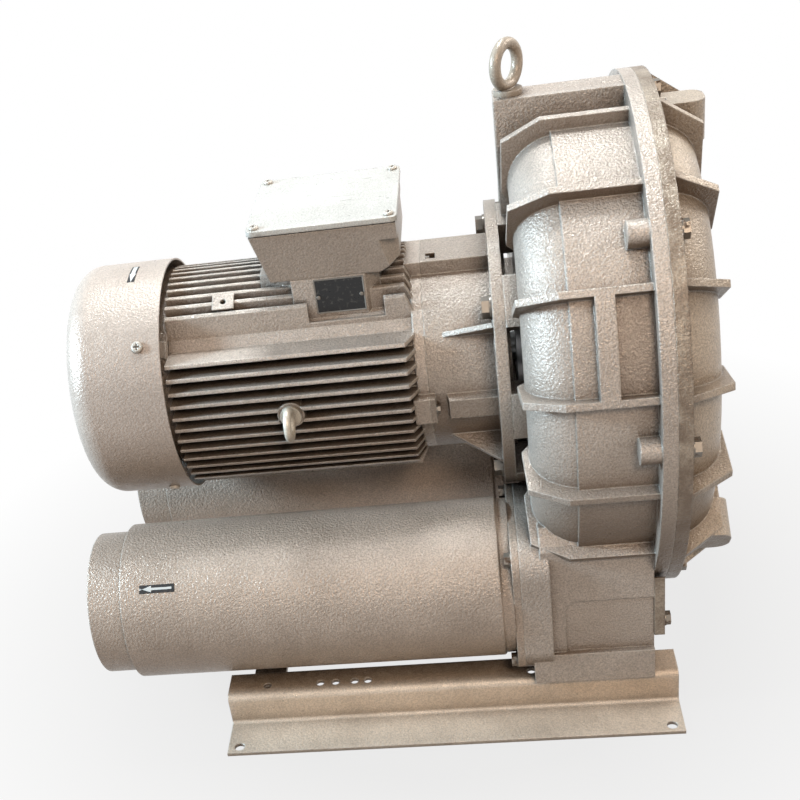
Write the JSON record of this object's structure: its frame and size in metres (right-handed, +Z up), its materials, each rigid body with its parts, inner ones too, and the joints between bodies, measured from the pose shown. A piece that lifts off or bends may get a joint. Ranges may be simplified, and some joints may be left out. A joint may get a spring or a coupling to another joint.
{
  "type": "side channel blower",
  "caption": "Side channel blower with a flange-mounted electric motor, ribbed ring casing, intake and outlet silencers below and folded base rails.",
  "frame": {"origin": "on the floor, in the middle of the four foot holes of the base rails", "axes": "+X along the motor shaft from the fan cowl to the casing cover, +Z up, -Y towards the side with the bare name plate"},
  "size_m": [0.663, 0.5274, 0.6548],
  "materials": {
    "hammer_paint": "hammered silver paint",
    "silver_steel": "silver paint on sheet steel",
    "zinc": "zinc plated, lightly rusted",
    "bare_steel": "turned",
    "bare_aluminium": "machined casting",
    "seal_rubber": "matt",
    "lamination": "stacked sheet",
    "copper": "enamelled wire in varnish",
    "black_plastic": "matt",
    "brass_studs": "turned",
    "felt": "mineral felt"
  },
  "bodies": {
    "blower_body": {"front_rail": "silver_steel", "rear_rail": "silver_steel", "cross_ties": "silver_steel", "motor_side_casing": "hammer_paint", "outer_casing": "hammer_paint", "casing_bolts": "zinc", "hub_cover": "hammer_paint", "hub_cover_screws": "zinc", "port_cover_plates": "hammer_paint", "port_cover_bolts": "zinc", "casing_foot_bolts": "zinc", "casing_eye_bolt": "silver_steel", "seal_carrier": "bare_aluminium", "shaft_seal": "seal_rubber", "drive_end_shield": "hammer_paint", "motor_flange_bolts": "zinc", "bell_screws": "zinc", "drive_bearing": "bare_steel", "tail_bearing": "bare_steel", "stator_housing": "hammer_paint", "motor_eye_bolt": "silver_steel", "stator_core": "lamination", "windings": "copper", "tail_end_shield": "hammer_paint", "tail_shield_screws": "zinc", "fan_cowl": "silver_steel", "cowl_screws": "zinc", "terminal_box": "hammer_paint", "lid_gasket": "seal_rubber", "terminal_box_lid": "silver_steel", "lid_screws": "zinc", "terminal_board": "black_plastic", "terminal_studs": "brass_studs", "cable_gland": "black_plastic", "silencer_bolts": "zinc", "front_silencer_shell": "silver_steel", "front_silencer_flange": "silver_steel", "front_silencer_tube": "silver_steel", "front_silencer_absorber": "felt", "rear_silencer_shell": "silver_steel", "rear_silencer_flange": "silver_steel", "rear_silencer_tube": "silver_steel", "rear_silencer_absorber": "felt"},
    "rotor": {"shaft": "bare_steel", "impeller": "bare_aluminium", "drive_key": "bare_steel", "wheel_washer": "bare_steel", "wheel_bolt": "zinc", "rotor_core": "lamination", "cooling_fan": "black_plastic", "drive_bearing_inner_ring": "bare_steel", "tail_bearing_inner_ring": "bare_steel"}
  },
  "joints": [
    {"name": "shaft_rotation", "type": "hinge", "parent": "blower_body", "child": "rotor", "pos_m": [0, 0, 0.34], "axis": [1, 0, 0], "continuous": true}
  ]
}
